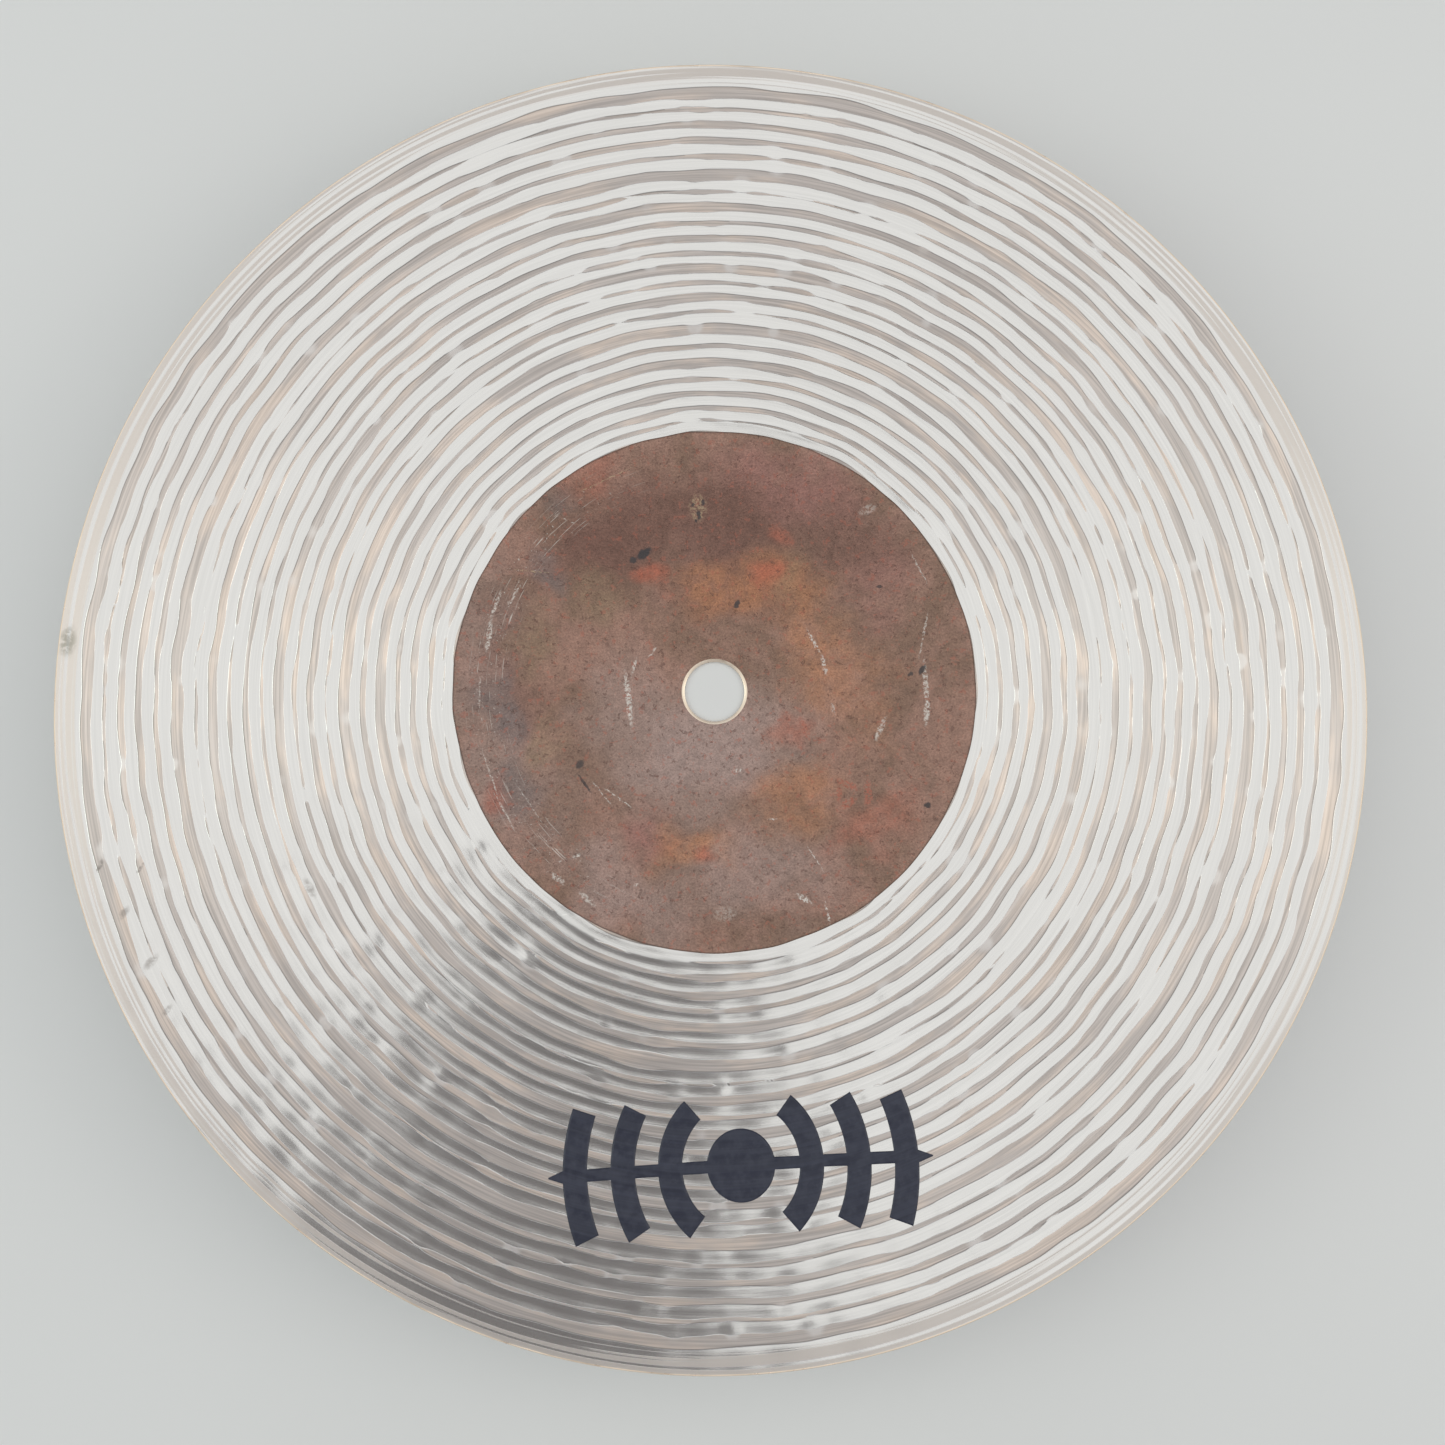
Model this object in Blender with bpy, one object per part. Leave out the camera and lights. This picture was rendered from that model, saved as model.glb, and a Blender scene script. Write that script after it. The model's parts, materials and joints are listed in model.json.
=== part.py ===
"""Ten-inch hand-hammered crash cymbal, lying bell down with its hollow side up.

Everything is in metres, +Z up. The origin is the middle of the flat seat round
the stand hole, on the playing side, which is the lowest face in this pose.

The cymbal is one disc of cast and rolled bronze, turned here from a single
section: a domed bell, a small reverse fillet, and a shallow bow that steepens
towards the rim. The printed emblem is the ink film on the hollow side.
"""

import math

import bmesh
import bpy
from mathutils import Matrix, Vector

# ---- Driving dimensions, metres and radians ----------------------------------
RIM_RADIUS = 0.127
HOLE_RADIUS = 0.0064
HOLE_CHAMFER_WIDTH = 0.0006
HOLE_CHAMFER_DEPTH = 0.0003
SEAT_RADIUS = 0.0100

BELL_RADIUS = 0.053
BELL_EDGE_SLOPE = math.radians(30.0)
FILLET_RADIUS = 0.010
BOW_INNER_SLOPE = math.radians(5.5)
BOW_RIM_SLOPE = math.radians(13.0)

BELL_WALL = 0.00085
LATHE_CUT = 0.00010
RIM_WALL = 0.00060

EMBLEM_CENTRE_RADIUS = 0.092
EMBLEM_BEARING = math.radians(-87.0)
EMBLEM_HALF_HEIGHT = 0.012
EMBLEM_DISC_RADIUS = 0.0065
EMBLEM_ARC_RADII = (0.0135, 0.0225, 0.0315)
EMBLEM_STROKE = 0.0046
EMBLEM_SPINE = 0.0022
EMBLEM_TIP = 0.0365
EMBLEM_FILM = 0.00015
EMBLEM_GAP = 0.0003

# ---- Fineness of the mesh ----------------------------------------------------
TURN_STEPS = 96
BELL_STEPS = 8
FILLET_STEPS = 3
BOW_STEPS = 9
RIM_STEPS = 4
EMBLEM_ARC_STEPS = 4
EMBLEM_MERGE = 0.000001

# ---- Worked out from the above -----------------------------------------------
FILLET_REACH = FILLET_RADIUS * (math.sin(BELL_EDGE_SLOPE) - math.sin(BOW_INNER_SLOPE))
FILLET_START = BELL_RADIUS - FILLET_REACH / 2
FILLET_END = BELL_RADIUS + FILLET_REACH / 2
BELL_CURVE = FILLET_START / math.sin(BELL_EDGE_SLOPE)
SEAT_SLOPE = math.asin(SEAT_RADIUS / BELL_CURVE)
SKIN_RADIUS = RIM_RADIUS - RIM_WALL / 2 * (1 - math.sin(BOW_RIM_SLOPE))
BOW_CURVE = (SKIN_RADIUS - FILLET_END) / (math.sin(BOW_RIM_SLOPE) - math.sin(BOW_INNER_SLOPE))

BRONZE_COLOUR = (0.70, 0.63, 0.54, 1.0)
INK_COLOUR = (0.018, 0.022, 0.045, 1.0)


def arc_stations(start, slope_from, slope_to, radius, steps):
    """Stations (r, z, slope) along an arc that leaves start at one slope and ends at another."""
    start_r, start_z = start
    stations = []
    for step in range(steps + 1):
        slope = slope_from + (slope_to - slope_from) * step / steps
        r = start_r + radius * (math.sin(slope) - math.sin(slope_from))
        z = start_z - radius * (math.cos(slope) - math.cos(slope_from))
        stations.append((r, z, slope))
    return stations


def playing_side():
    """The skin that is struck, from the seat out to the rim; it faces down in this pose."""
    bell = arc_stations((SEAT_RADIUS, 0.0), SEAT_SLOPE, BELL_EDGE_SLOPE, BELL_CURVE, BELL_STEPS)
    fillet = arc_stations(bell[-1][:2], BELL_EDGE_SLOPE, BOW_INNER_SLOPE, -FILLET_RADIUS, FILLET_STEPS)
    bow = arc_stations(fillet[-1][:2], BOW_INNER_SLOPE, BOW_RIM_SLOPE, BOW_CURVE, BOW_STEPS)
    return bell + fillet[1:] + bow[1:]


def wall(r):
    """Wall thickness: full in the bell, less where the lathe has cut, thinning to the rim."""
    if r <= BELL_RADIUS:
        return BELL_WALL
    share = (r - BELL_RADIUS) / (SKIN_RADIUS - BELL_RADIUS)
    lathed = BELL_WALL - LATHE_CUT
    return lathed + (RIM_WALL - lathed) * share


def across_wall(station, depth):
    """The point that lies depth into the wall, square to the playing side."""
    r, z, slope = station
    return (r - depth * math.sin(slope), z + depth * math.cos(slope))


def rim_round(station):
    """Points of the half-round rim, from the hollow side down to the playing side."""
    half = wall(SKIN_RADIUS) / 2
    middle_r, middle_z = across_wall(station, half)
    points = []
    for step in range(1, RIM_STEPS):
        turn = station[2] + math.pi / 2 - math.pi * step / RIM_STEPS
        points.append((middle_r + half * math.cos(turn), middle_z + half * math.sin(turn)))
    return points


def hole_edge():
    """Points of the chamfered stand hole, from the playing side up to the hollow side."""
    chamfer_radius = HOLE_RADIUS + HOLE_CHAMFER_WIDTH
    return [
        (chamfer_radius, 0.0),
        (HOLE_RADIUS, HOLE_CHAMFER_DEPTH),
        (HOLE_RADIUS, BELL_WALL - HOLE_CHAMFER_DEPTH),
        (chamfer_radius, BELL_WALL),
    ]


def cymbal_section():
    """The closed outline that is turned: hole, hollow side, rim, and back along the playing side."""
    skin = playing_side()
    seat_inside = (SEAT_RADIUS, BELL_WALL)
    hollow_side = [across_wall(station, wall(station[0])) for station in skin[1:]]
    struck_side = [(r, z) for r, z, slope in reversed(skin)]
    return hole_edge() + [seat_inside] + hollow_side + rim_round(skin[-1]) + struck_side


def height_inside(r):
    """Height of the bow's hollow side at a radius between the fillet and the rim."""
    bow_start = playing_side()[BELL_STEPS + FILLET_STEPS]
    slope = math.asin(math.sin(BOW_INNER_SLOPE) + (r - bow_start[0]) / BOW_CURVE)
    outer = bow_start[1] - BOW_CURVE * (math.cos(slope) - math.cos(BOW_INNER_SLOPE))
    return outer + wall(r) / math.cos(slope)


def clear_scene():
    """Removes what the file opened with."""
    for thing in list(bpy.data.objects):
        bpy.data.objects.remove(thing, do_unlink=True)


def make_material(name, colour, metallic, roughness):
    """A Principled material with plain values."""
    material = bpy.data.materials.new(name)
    material.use_nodes = True
    shader = material.node_tree.nodes["Principled BSDF"]
    shader.inputs["Base Color"].default_value = colour
    shader.inputs["Metallic"].default_value = metallic
    shader.inputs["Roughness"].default_value = roughness
    return material


def add_object(name, mesh, material):
    """A named object that holds the mesh and wears the material."""
    mesh.materials.append(material)
    thing = bpy.data.objects.new(name, mesh)
    bpy.context.scene.collection.objects.link(thing)
    return thing


def make_cymbal():
    """The bronze disc, turned from its section by a Screw modifier."""
    section = cymbal_section()
    vertices = [(r, 0.0, z) for r, z in section]
    edges = [(i, (i + 1) % len(section)) for i in range(len(section))]
    mesh = bpy.data.meshes.new("cymbal")
    mesh.from_pydata(vertices, edges, [])
    thing = add_object("cymbal", mesh, make_material("lathed_bronze", BRONZE_COLOUR, 1.0, 0.35))
    turn = thing.modifiers.new("turn", "SCREW")
    turn.axis = "Z"
    turn.angle = 2 * math.pi
    turn.steps = TURN_STEPS
    turn.render_steps = TURN_STEPS
    turn.use_merge_vertices = True
    turn.merge_threshold = 0.00001
    turn.use_smooth_shade = True
    return thing


def emblem_frame():
    """The emblem's own axes: X along the bow, Y towards the bell, on the emblem's middle."""
    bearing = Matrix.Rotation(EMBLEM_BEARING, 4, "Z")
    outward = Matrix.Translation(Vector((EMBLEM_CENTRE_RADIUS, 0.0, 0.0)))
    upright = Matrix.Rotation(math.pi / 2, 4, "Z")
    return bearing @ outward @ upright


def on_bow(frame, across, up):
    """A point of the emblem laid on the bow's hollow side, clear of it by the gap."""
    point = frame @ Vector((across, up, 0.0))
    point.z = height_inside(math.hypot(point.x, point.y)) + EMBLEM_GAP
    return point


def stroke_angles(radius, reach):
    """Angles along a stroke, with a pair where the spine's two edges cross it."""
    spine = math.asin(EMBLEM_SPINE / 2 / radius)
    upper = [spine + (reach - spine) * step / EMBLEM_ARC_STEPS for step in range(EMBLEM_ARC_STEPS + 1)]
    return [-angle for angle in reversed(upper)] + upper


def add_face(mesh, frame, corners):
    """A face of the emblem between corners given on its own flat axes."""
    mesh.faces.new([mesh.verts.new(on_bow(frame, across, up)) for across, up in corners])


def add_arc(mesh, frame, inner, outer, side):
    """One arc of the emblem: a part of a ring on one side of the middle."""
    reach = math.asin(EMBLEM_HALF_HEIGHT / outer)
    rows = []
    for near, far in zip(stroke_angles(inner, reach), stroke_angles(outer, reach)):
        near_point = (side * inner * math.cos(near), inner * math.sin(near))
        far_point = (side * outer * math.cos(far), outer * math.sin(far))
        rows.append((near_point, far_point))
    for low, high in zip(rows, rows[1:]):
        add_face(mesh, frame, (low[0], low[1], high[1], high[0]))


def spine_pair(radius, side):
    """The two corners where the spine's edges meet a circle of the emblem."""
    across = side * math.sqrt(radius**2 - (EMBLEM_SPINE / 2) ** 2)
    return ((across, -EMBLEM_SPINE / 2), (across, EMBLEM_SPINE / 2))


def add_spine(mesh, frame, side):
    """The thin bar that runs from the disc through the arcs to a pointed tip."""
    half = EMBLEM_STROKE / 2
    leaves = [EMBLEM_DISC_RADIUS] + [middle + half for middle in EMBLEM_ARC_RADII]
    meets = [middle - half for middle in EMBLEM_ARC_RADII]
    for leave, meet in zip(leaves, meets):
        low, high = spine_pair(leave, side)
        far_low, far_high = spine_pair(meet, side)
        add_face(mesh, frame, (low, far_low, far_high, high))
    low, high = spine_pair(leaves[-1], side)
    add_face(mesh, frame, (low, (side * EMBLEM_TIP, 0.0), high))


def add_disc(mesh, frame):
    """The emblem's round middle, as wedges round its centre."""
    right = stroke_angles(EMBLEM_DISC_RADIUS, math.pi / 2)
    left = [math.pi - angle for angle in reversed(right[1:-1])]
    angles = right + left
    for near, far in zip(angles, angles[1:] + angles[:1]):
        ends = [(EMBLEM_DISC_RADIUS * math.cos(a), EMBLEM_DISC_RADIUS * math.sin(a)) for a in (near, far)]
        add_face(mesh, frame, ((0.0, 0.0), ends[0], ends[1]))


def make_emblem():
    """The ink film: a disc on a thin spine, with three arcs on each side."""
    frame = emblem_frame()
    sheet = bmesh.new()
    add_disc(sheet, frame)
    for side in (-1, 1):
        add_spine(sheet, frame, side)
        for middle in EMBLEM_ARC_RADII:
            add_arc(sheet, frame, middle - EMBLEM_STROKE / 2, middle + EMBLEM_STROKE / 2, side)
    bmesh.ops.remove_doubles(sheet, verts=sheet.verts, dist=EMBLEM_MERGE)
    bmesh.ops.recalc_face_normals(sheet, faces=sheet.faces)
    mesh = bpy.data.meshes.new("printed_emblem")
    sheet.to_mesh(mesh)
    sheet.free()
    thing = add_object("printed_emblem", mesh, make_material("navy_ink", INK_COLOUR, 0.0, 0.45))
    film = thing.modifiers.new("film", "SOLIDIFY")
    film.thickness = EMBLEM_FILM
    film.offset = 1.0
    return thing


def main():
    clear_scene()
    make_cymbal()
    make_emblem()


main()
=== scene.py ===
"""The looks of a ten-inch hand-hammered and lathed bronze cymbal, hollow side up.

Everything is in metres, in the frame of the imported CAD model, +Z up. The cymbal is
one turned disc. Its hollow side is built here as a polar grid: hammered metal, with
almost true circles cut into it on the lathe. Where a hammer dent lies deeper than the
cut, the tool missed it and the dull hammered skin is left.
"""

import json
import math
import random

import bmesh
import bpy
import numpy as np
from mathutils import Matrix, Vector


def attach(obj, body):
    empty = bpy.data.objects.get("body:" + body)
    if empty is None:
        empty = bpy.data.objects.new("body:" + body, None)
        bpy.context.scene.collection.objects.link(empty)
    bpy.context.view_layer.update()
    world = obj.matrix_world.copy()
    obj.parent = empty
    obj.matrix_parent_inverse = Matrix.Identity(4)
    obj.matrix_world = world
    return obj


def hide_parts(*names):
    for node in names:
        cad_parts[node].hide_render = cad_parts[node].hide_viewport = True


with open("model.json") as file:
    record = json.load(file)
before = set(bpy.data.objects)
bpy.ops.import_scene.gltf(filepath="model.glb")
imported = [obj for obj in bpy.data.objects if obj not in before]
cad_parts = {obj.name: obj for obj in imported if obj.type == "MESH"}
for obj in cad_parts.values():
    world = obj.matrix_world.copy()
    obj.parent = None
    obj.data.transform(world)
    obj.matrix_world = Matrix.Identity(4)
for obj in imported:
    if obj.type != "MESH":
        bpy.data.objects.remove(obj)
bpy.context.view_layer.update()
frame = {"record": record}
MOUNTS = {mount["name"]: mount["pos_m"] for mount in frame["record"]["mounts"]}

TURN = 2 * math.pi
MM = 0.001

# ---- The cymbal's section, as the CAD model has it -------------------------------
RIM_RADIUS = 0.127
HOLE_RADIUS = 0.0064
CHAMFER_WIDTH = 0.0006
CHAMFER_DEPTH = 0.0003
SEAT_RADIUS = 0.0100
SEAT_BLEND = (0.8, 1.2)
BELL_RADIUS = 0.053
BELL_EDGE_SLOPE = math.radians(30.0)
FILLET_RADIUS = 0.010
BOW_INNER_SLOPE = math.radians(5.5)
BOW_RIM_SLOPE = math.radians(13.0)
BELL_WALL = MOUNTS["clamp_seat"][2] - MOUNTS["stand_seat"][2]
LATHE_CUT = 0.00010
LATHE_FADE = 0.001
RIM_WALL = 0.00060

FILLET_REACH = FILLET_RADIUS * (math.sin(BELL_EDGE_SLOPE) - math.sin(BOW_INNER_SLOPE))
FILLET_START = BELL_RADIUS - FILLET_REACH / 2
FILLET_END = BELL_RADIUS + FILLET_REACH / 2
SKIN_RADIUS = RIM_RADIUS - RIM_WALL / 2 * (1 - math.sin(BOW_RIM_SLOPE))
GRID_END = SKIN_RADIUS - RIM_WALL * math.sin(BOW_RIM_SLOPE)

# ---- Fineness of the grid --------------------------------------------------------
BOW_TURN_STEPS = 640
BELL_TURN_STEPS = 320
BOW_RING_STEP = 0.00044
BELL_RING_STEP = 0.0009
STRUCK_RING_STEP = 0.0009
RIM_STEPS = 6
TABLE_STEPS = 6000
SHARP_ANGLE = math.radians(28)

# ---- Lathe grooves: cuts of nearly one width, and the skin left between them -----
CUT_START = 0.0529
CUT_WIDTH = 0.002045
CUT_JITTER = 0.00012
CUT_CURVE = 80.0
SKIN_WIDTHS_MM = (0.4, 1.0, 1.2, 0.8, 1.8, 1.0, 2.2, 0.5, 1.4, 0.6, 1.7)
SKIN_WIDTHS_MM += (0.65, 1.2, 0.75, 1.7, 0.5, 2.1, 0.85, 1.15, 1.1, 0.6, 2.0)
MARGIN_DEPTH = 0.00008
UNCUT = 0.001
LEAN_LIMIT = 2.0
STRUCK_PITCH = 0.0029
STRUCK_SWING = 1.5
STRUCK_SWING_PITCH = 0.021
STRUCK_WAVE = 0.000038
STRUCK_DEPTH = 0.000030
STRUCK_FADE = 0.004

# ---- Hammer marks: a pair is the two ends of a random draw -----------------------
DENT_RING_STEP = 0.0043
DENT_RING_JITTER = (0.75, 1.25)
DENT_INNER_MARGIN = 0.0035
DENT_OUTER_MARGIN = 0.004
DENT_FADE = 0.012
OUTER_START = 1.3
INNER_CROWDING = 0.25
INNER_GROWTH = 0.5
OUTER_GROWTH = 0.3
DENT_SPACING = (0.0095, 0.0155)
DENT_TURN_JITTER = 0.34
DENT_JITTER = 0.0009
DENT_SIZE = (0.0019, 0.0032)
DENT_DEPTH = (-0.000008, -0.000038)
# Glow: how strong the painted highlight is on a dent, and on a bump.
DENT_GLOW = (0.0, 0.6)
DENT_FORCE_CURVE = 1.4
BUMP_SHARE = 0.4
BUMP_HEIGHT = (0.000012, 0.000065)
BUMP_GLOW = (0.8, 1.8)

# ---- Uneven metal: (height, shortest wave, longest wave) -------------------------
ROLLING_WAVES = 40
BELL_ROLLING = (0.000030, 0.010, 0.034)
SKIN_ROLLING = (0.000013, 0.009, 0.030)
FLOOR_ROLLING = (0.000005, 0.030, 0.090)
SHARED_ROLLING = (0.000017, 0.007, 0.018)
INNER_ROLLING = (0.000010, 0.013, 0.027)
INNER_REACH = 0.012
SWAY = (0.00012, 0.010, 0.026)
INNER_SWAY = (0.00022, 0.013, 0.028)
EDGE_WAVER = (0.00008, 0.10, 0.60)
EDGE_WAVER_ROWS = 4

# ---- The step from the raw bell down to the first cut ----------------------------
BELL_STEP = 0.00006
BELL_STEP_REACH = 0.0008
BELL_GRID_MARGIN = 0.0012
BELL_FADE = 0.006
BELL_EDGE_RINGS = (0.0004, 0.00002)
RAW_OFFSET = 0.001

# ---- Seeds of the random draws ---------------------------------------------------
BOW_SEED = 5
BELL_SEED = 11
EDGE_SEED = 17
STRUCK_SEED = 31
PATCH_SEED = 61


def part_of(low, high, share):
    """The value that lies a share of the way from low to high."""
    return low + (high - low) * share


# ---- Shape -----------------------------------------------------------------------
def section_table():
    """Fine tables of the playing side's radius, height and slope. Each arc's sine is linear."""
    bell_sine = math.sin(BELL_EDGE_SLOPE)
    seat_sine = bell_sine * SEAT_BLEND[1] * SEAT_RADIUS / FILLET_START
    seat = [share * SEAT_RADIUS for share in SEAT_BLEND]
    stations = (0.0, *seat, FILLET_START, FILLET_END, SKIN_RADIUS)
    sines = (0.0, 0.0, seat_sine, bell_sine, math.sin(BOW_INNER_SLOPE), math.sin(BOW_RIM_SLOPE))
    radii = np.linspace(0.0, RIM_RADIUS, TABLE_STEPS + 1)
    slopes = np.arcsin(np.interp(radii, stations, sines))
    rises = np.tan(slopes)
    steps = (rises[1:] + rises[:-1]) / 2 * np.diff(radii)
    heights = np.concatenate(([0.0], np.cumsum(steps)))
    return radii, heights, slopes


TABLE_RADII, TABLE_HEIGHTS, TABLE_SLOPES = section_table()


def struck_height(radius):
    """Height of the smooth playing side."""
    return np.interp(radius, TABLE_RADII, TABLE_HEIGHTS)


def slope_at(radius):
    """Slope of the section."""
    return np.interp(radius, TABLE_RADII, TABLE_SLOPES)


def wall_at(radius):
    """Wall thickness: full in the bell, thinning along the bow."""
    lathed = BELL_WALL - LATHE_CUT
    radii = (0.0, BELL_RADIUS - LATHE_FADE, BELL_RADIUS + LATHE_FADE, SKIN_RADIUS)
    return np.interp(radius, radii, (BELL_WALL, BELL_WALL, lathed, RIM_WALL))


def hollow_height(radius):
    """Height of the smooth hollow side."""
    return struck_height(radius) + wall_at(radius) / np.cos(slope_at(radius))


def rolling(x, y, seed, height, shortest, longest):
    """A soft random relief: many long plane waves added up."""
    dice = random.Random(seed)
    total = np.zeros_like(x)
    for _ in range(ROLLING_WAVES):
        heading = dice.uniform(0, TURN)
        wave = TURN / dice.uniform(shortest, longest)
        phase = dice.uniform(0, TURN)
        total += np.cos(wave * (x * math.cos(heading) + y * math.sin(heading)) + phase)
    return total * height / math.sqrt(ROLLING_WAVES / 2)


def bow_dents(seed):
    """Hammer marks of the bow in rough rings: (radius, bearing, size, height, glow).

    A height above zero is a bump, struck from behind. Marks lie closer and are larger near
    the bell, and are stronger near the rim.
    """
    dice = random.Random(seed)
    dents = []
    ring = BELL_RADIUS + DENT_INNER_MARGIN
    while ring < RIM_RADIUS - DENT_OUTER_MARGIN:
        inner = max(0.0, 1 - (ring - BELL_RADIUS) / DENT_FADE)
        outer = min(1.0, max(0.0, (ring - RIM_RADIUS) / DENT_FADE + OUTER_START))
        spacing = part_of(*DENT_SPACING, dice.random()) * (1 - INNER_CROWDING * inner)
        count = int(TURN * ring / spacing)
        for step in range(count):
            bearing = TURN * (step + dice.uniform(-DENT_TURN_JITTER, DENT_TURN_JITTER)) / count
            radius = ring + dice.uniform(-DENT_JITTER, DENT_JITTER)
            size = part_of(*DENT_SIZE, dice.random()) * (1 + INNER_GROWTH * inner)
            force = dice.random()
            bump = dice.random() < BUMP_SHARE
            low, high = BUMP_HEIGHT if bump else DENT_DEPTH
            height = part_of(low, high, force**DENT_FORCE_CURVE) * (1 + OUTER_GROWTH * outer)
            glow = force * dice.uniform(*(BUMP_GLOW if bump else DENT_GLOW))
            dents.append((radius, bearing, size, height, glow))
        ring += DENT_RING_STEP * dice.uniform(*DENT_RING_JITTER)
    return dents


def press(field, radii, steps, dent, amount):
    """Adds one round bowl to a grid of rows by bearing steps."""
    radius, bearing, size = dent[:3]
    rows = np.flatnonzero(np.abs(radii - radius) < size)
    middle = int(round(bearing / TURN * steps))
    reach = int(size / radius / TURN * steps) + 1
    columns = np.arange(middle - reach, middle + reach + 1)
    turns = columns * TURN / steps - bearing
    across = radii[rows][:, None] * np.cos(turns)[None, :] - radius
    along = radii[rows][:, None] * np.sin(turns)[None, :]
    near = np.clip(np.hypot(across, along) / size, 0, 1)
    bowl = (0.5 + 0.5 * np.cos(math.pi * near)) * amount
    field[np.ix_(rows, columns % steps)] += bowl


def grooves(seed):
    """The lathe's cuts, (middle radius, half width), and the radius where the margin starts."""
    dice = random.Random(seed)
    cuts = []
    start = CUT_START
    for skin in SKIN_WIDTHS_MM:
        width = CUT_WIDTH + dice.uniform(-CUT_JITTER, CUT_JITTER)
        cuts.append((start + width / 2, width / 2))
        start += width + skin * MM
    return cuts, start


def groove_floor(radii, seed):
    """How low the tool goes at each radius, and where in its cut that radius lies.

    The place in a cut is -1 at its inner edge and 1 at its outer edge.
    """
    cuts, margin_start = grooves(seed)
    floor = np.full_like(radii, UNCUT)
    lean = np.zeros_like(radii)
    for middle, half in cuts:
        here = CUT_CURVE * ((radii - middle) ** 2 - half**2)
        place = np.clip((radii - middle) / half, -LEAN_LIMIT, LEAN_LIMIT)
        lean = np.where(here < floor, place, lean)
        floor = np.minimum(floor, here)
    here = np.maximum(CUT_CURVE * CUT_WIDTH * (margin_start - radii), -MARGIN_DEPTH)
    lean = np.where(here < floor, -1.0, lean)
    return np.minimum(floor, here), lean


def bow_field(radii, steps, seed):
    """The bow's relief over the smooth section, and what the material needs to know of it."""
    bearings = np.arange(steps) * TURN / steps
    x = radii[:, None] * np.cos(bearings)[None, :]
    y = radii[:, None] * np.sin(bearings)[None, :]
    inner = np.clip(1 - (radii - BELL_RADIUS) / INNER_REACH, 0, 1)[:, None]
    hammered = np.zeros_like(x)
    glow = np.zeros_like(x)
    for dent in bow_dents(seed + 1):
        press(hammered, radii, steps, dent, dent[3])
        press(glow, radii, steps, dent, dent[4])
    skin = hammered + rolling(x, y, seed, *SKIN_ROLLING)
    skin = skin + inner * rolling(x, y, seed + 4, *INNER_ROLLING)
    sway = rolling(x, y, seed + 6, *SWAY) + inner * rolling(x, y, seed + 7, *INNER_SWAY)
    floor, lean = groove_floor(radii[:, None] + sway, seed + 2)
    floor = floor + rolling(x, y, seed + 3, *FLOOR_ROLLING)
    shared = rolling(x, y, seed + 5, *SHARED_ROLLING) + hammered
    near_bell = np.clip(2 - (radii[:, None] - BELL_RADIUS) / BELL_STEP_REACH, 0, 1)
    relief = np.minimum(np.minimum(skin, floor) + shared, -BELL_STEP * near_bell)
    return {"relief": relief, "cut": skin - floor, "lean": lean, "glow": glow}


def ring_points(radius, height, steps):
    """Points of one ring; radius and height are one value each or one for each step."""
    bearings = np.arange(steps) * TURN / steps
    heights = np.broadcast_to(height, bearings.shape)
    return np.stack((radius * np.cos(bearings), radius * np.sin(bearings), heights), axis=1)


def join_rings(first, steps, next_first, next_steps):
    """Faces between two rings whose step counts are equal, or where one has twice the other's."""
    faces = []
    if steps == next_steps:
        for i in range(steps):
            j = (i + 1) % steps
            faces.append((first + i, next_first + i, next_first + j, first + j))
        return faces
    flipped = steps > next_steps
    coarse, fine = (next_first, first) if flipped else (first, next_first)
    count = min(steps, next_steps)
    for i in range(count):
        a, b = coarse + i, coarse + (i + 1) % count
        c, d, e = fine + 2 * i, fine + 2 * i + 1, fine + (2 * i + 2) % (2 * count)
        for face in ((a, c, d), (a, d, b), (b, d, e)):
            faces.append(face[::-1] if flipped else face)
    return faces


def grid_radii(start, end, step):
    """Ring radii from start to end, evenly spaced near the wanted step."""
    return np.linspace(start, end, int(round((end - start) / step)) + 1)


# ---- Oxide, painted sheen and painted reflection on the raw bell -----------------
PATCH_WANDER = (0.0013, 0.006, 0.024)
PATCH_END = 1.25
PATCH_FADE = 0.95
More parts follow.
